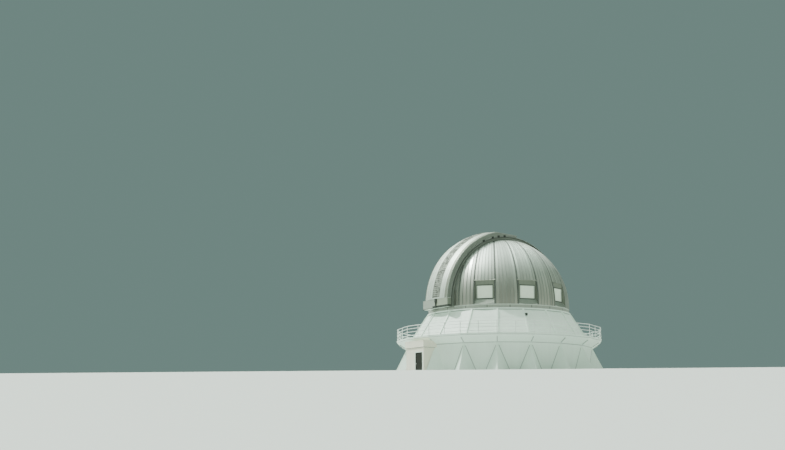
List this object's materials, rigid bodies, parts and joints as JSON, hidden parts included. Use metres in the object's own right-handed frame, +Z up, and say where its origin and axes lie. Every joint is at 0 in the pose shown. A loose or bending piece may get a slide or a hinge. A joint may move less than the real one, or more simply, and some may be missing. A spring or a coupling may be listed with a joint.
{
  "type": "observatory dome on a round building with a balcony",
  "caption": "Hemispherical metal observatory dome that turns on a round white building, with an up-and-over shutter, flared skirt, railed balcony, splayed buttresses and an entrance block.",
  "frame": {"origin": "centre of the ground floor's underside, on the ground, on the dome's turning axis", "axes": "+Z up, -Y towards the pictured front, +X to the right in the picture"},
  "size_m": [19.1612, 19.397, 13.1148],
  "materials": {
    "white_cladding": "matt white painted sheet metal cladding, slightly weathered",
    "entry_render": "warm white rendered masonry",
    "concrete": "plain concrete",
    "rail_paint": "white painted steel tube",
    "aluminium_skin": "weathered aluminium sheet with standing seams",
    "girder_paint": "dull grey aluminium channel",
    "vent_panel": "off-white painted panel",
    "door_paint": "near-black paint, low sheen"
  },
  "bodies": {
    "building": {"ground_floor": "concrete", "upper_floor": "concrete", "wall_over_passage": "white_cladding", "track_ring": "white_cladding", "entry_wall_left": "entry_render", "entry_wall_right": "entry_render", "entry_lintel": "entry_render", "entry_roof": "entry_render", "wall_1": "white_cladding", "wall_2": "white_cladding", "wall_3": "white_cladding", "wall_4": "white_cladding", "wall_5": "white_cladding", "wall_6": "white_cladding", "balcony_deck_1": "white_cladding", "balcony_railing_1": "rail_paint", "skirt_1": "white_cladding", "balcony_deck_2": "white_cladding", "balcony_railing_2": "rail_paint", "skirt_2": "white_cladding", "balcony_deck_3": "white_cladding", "balcony_railing_3": "rail_paint", "skirt_3": "white_cladding"},
    "dome": {"dome_base_ring": "aluminium_skin", "shell_back_strip": "aluminium_skin", "girder_right": "girder_paint", "girder_left": "girder_paint", "shell_right_front": "aluminium_skin", "shell_right_back": "aluminium_skin", "shell_left_front": "aluminium_skin", "shell_left_back": "aluminium_skin", "vent_panel_right_1": "vent_panel", "vent_panel_right_2": "vent_panel", "vent_panel_right_3": "vent_panel", "vent_panel_right_4": "vent_panel", "vent_panel_left_1": "vent_panel", "vent_panel_left_2": "vent_panel", "vent_panel_left_3": "vent_panel", "vent_panel_left_4": "vent_panel"},
    "shutter": {"shutter_skin": "aluminium_skin", "shutter_side_right": "girder_paint", "shutter_side_left": "girder_paint", "shutter_nose": "aluminium_skin", "shutter_tail": "girder_paint"},
    "door": {"door_leaf": "door_paint"}
  },
  "joints": [
    {"name": "dome_turn", "type": "hinge", "parent": "building", "child": "dome", "pos_m": [0, 0, 6.41], "axis": [0, 0, 1], "continuous": true},
    {"name": "shutter_lift", "type": "hinge", "parent": "dome", "child": "shutter", "pos_m": [0, 0, 6.41], "axis": [-0.5878, 0.809, 0], "range_deg": [0, 86]},
    {"name": "door_swing", "type": "hinge", "parent": "building", "child": "door", "pos_m": [-6.55631, -7.01902, 0.107], "axis": [0, 0, 1], "range_deg": [0, 105]}
  ]
}
